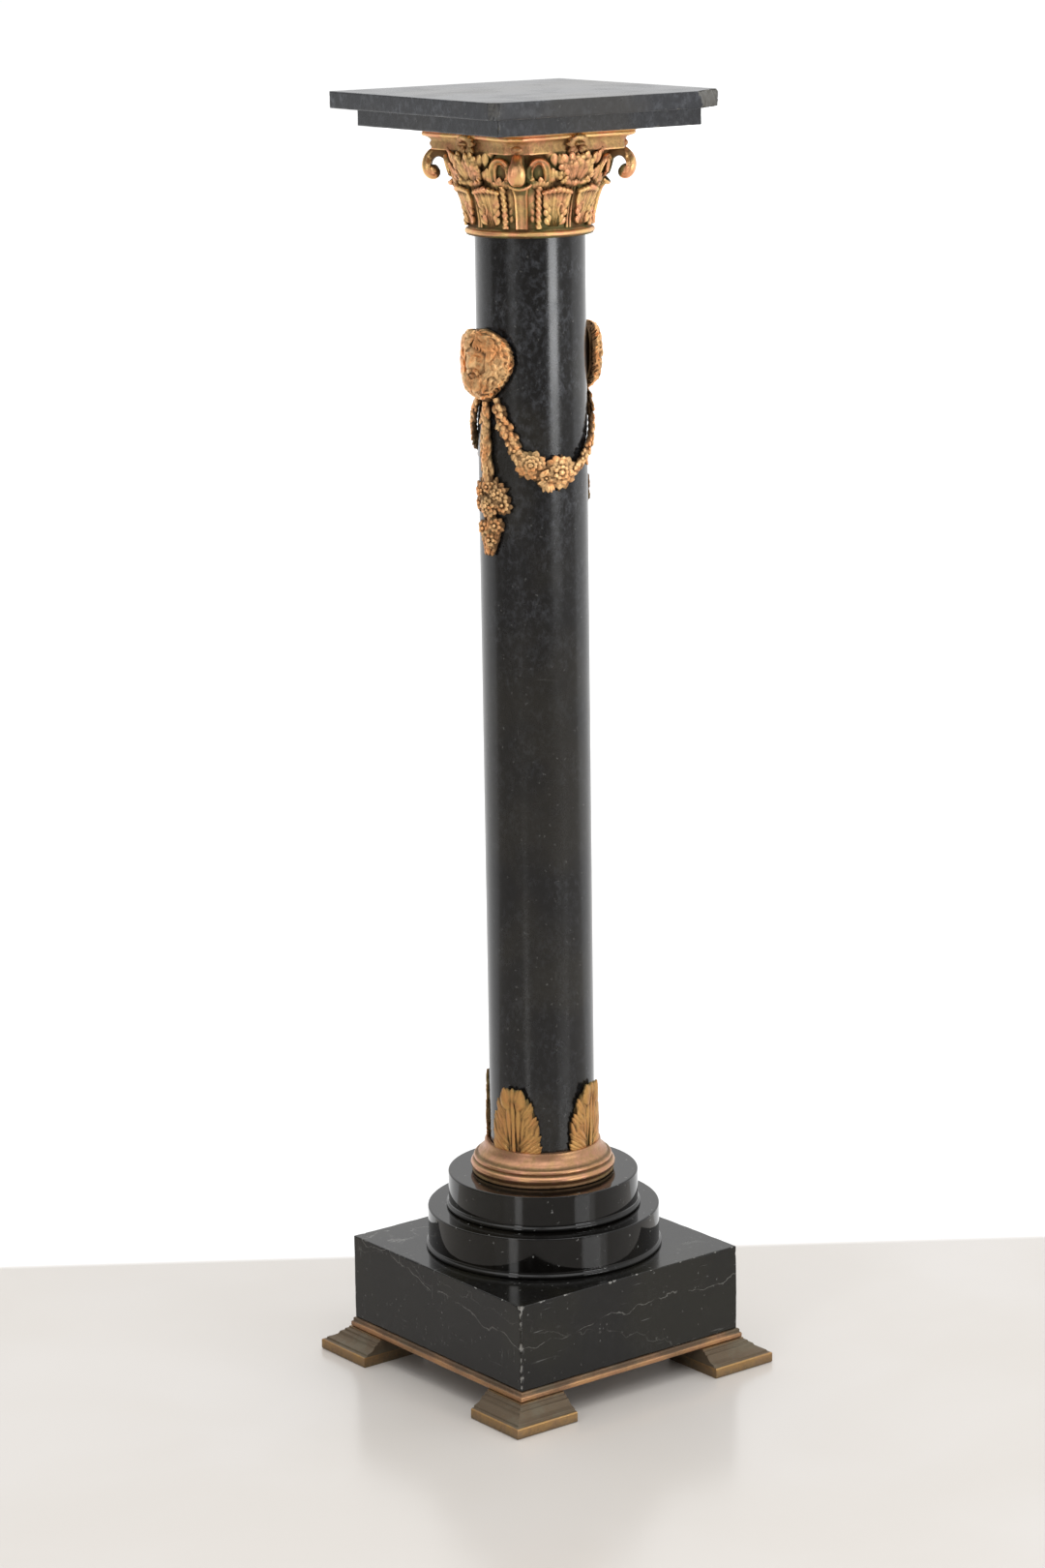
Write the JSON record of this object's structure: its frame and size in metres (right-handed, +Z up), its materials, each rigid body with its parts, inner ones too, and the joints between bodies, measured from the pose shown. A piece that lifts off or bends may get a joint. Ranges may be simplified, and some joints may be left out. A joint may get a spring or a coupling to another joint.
{
  "type": "marble pedestal column",
  "caption": "Black marble pedestal column with a square slab top, gilt leaf capital, masks and garlands, stepped round base and square plinth on bracket feet.",
  "frame": {"origin": "on the floor, under the middle of the feet", "axes": "+Z up the column; -Y is the front, where a garland hangs between the two masks; +X to the right seen from the front"},
  "size_m": [0.308, 0.308, 1.2],
  "materials": {
    "black_marble": "polished near-black marble with soft grey clouds",
    "slab_marble": "charcoal marble, polished top and dusty worn edges",
    "gilt_bronze": "worn gilding, olive and brown in the recesses",
    "copper_bronze": "coppery bronze, greenish at the lowest edge",
    "foot_bronze": "dull brown bronze with a rubbed brassy band",
    "plate_bronze": "dull brown bronze"
  },
  "bodies": {
    "root": {"foot_front_left": "foot_bronze", "foot_front_right": "foot_bronze", "foot_back_left": "foot_bronze", "foot_back_right": "foot_bronze", "base_plate": "plate_bronze", "plinth": "black_marble", "lower_disc": "black_marble", "upper_disc": "black_marble", "base_ring": "copper_bronze", "shaft": "black_marble", "base_leaf_front_left": "gilt_bronze", "base_leaf_front_right": "gilt_bronze", "base_leaf_back_left": "gilt_bronze", "base_leaf_back_right": "gilt_bronze", "mask_left": "gilt_bronze", "mask_right": "gilt_bronze", "swag_front": "gilt_bronze", "swag_back": "gilt_bronze", "pendant_left": "gilt_bronze", "pendant_right": "gilt_bronze", "capital": "gilt_bronze", "lower_slab": "slab_marble", "upper_slab": "slab_marble"}
  },
  "joints": []
}
